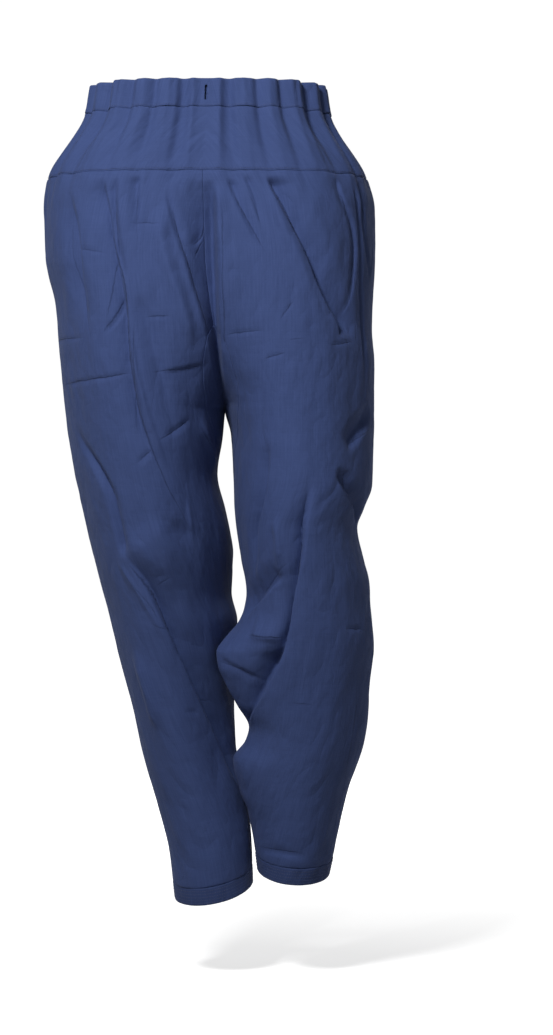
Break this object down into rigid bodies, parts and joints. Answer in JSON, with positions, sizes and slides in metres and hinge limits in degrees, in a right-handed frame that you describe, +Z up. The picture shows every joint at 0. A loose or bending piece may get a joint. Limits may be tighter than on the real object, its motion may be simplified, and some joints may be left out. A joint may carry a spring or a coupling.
{
  "type": "salwar",
  "caption": "Worn salwar trousers in plain blue cotton: gathered waist casing, yoke, full legs tapering to stitched hem bands, and a diamond gusset.",
  "frame": {"origin": "middle of the waist casing's top edge, where the garment is tied round the waist", "axes": "+Z up, -Y to the garment's front, +X to the wearer's left"},
  "size_m": [0.397, 0.3016, 0.9764],
  "materials": {
    "blue_cotton": "plain-woven cotton, matt with a slight sheen"
  },
  "bodies": {
    "root": {"waist_casing_front": "blue_cotton", "waist_casing_back": "blue_cotton", "yoke_front": "blue_cotton", "yoke_back": "blue_cotton", "leg_right_front": "blue_cotton", "leg_right_back": "blue_cotton", "hem_right": "blue_cotton", "leg_left_front": "blue_cotton", "leg_left_back": "blue_cotton", "hem_left": "blue_cotton", "gusset": "blue_cotton"}
  },
  "joints": []
}
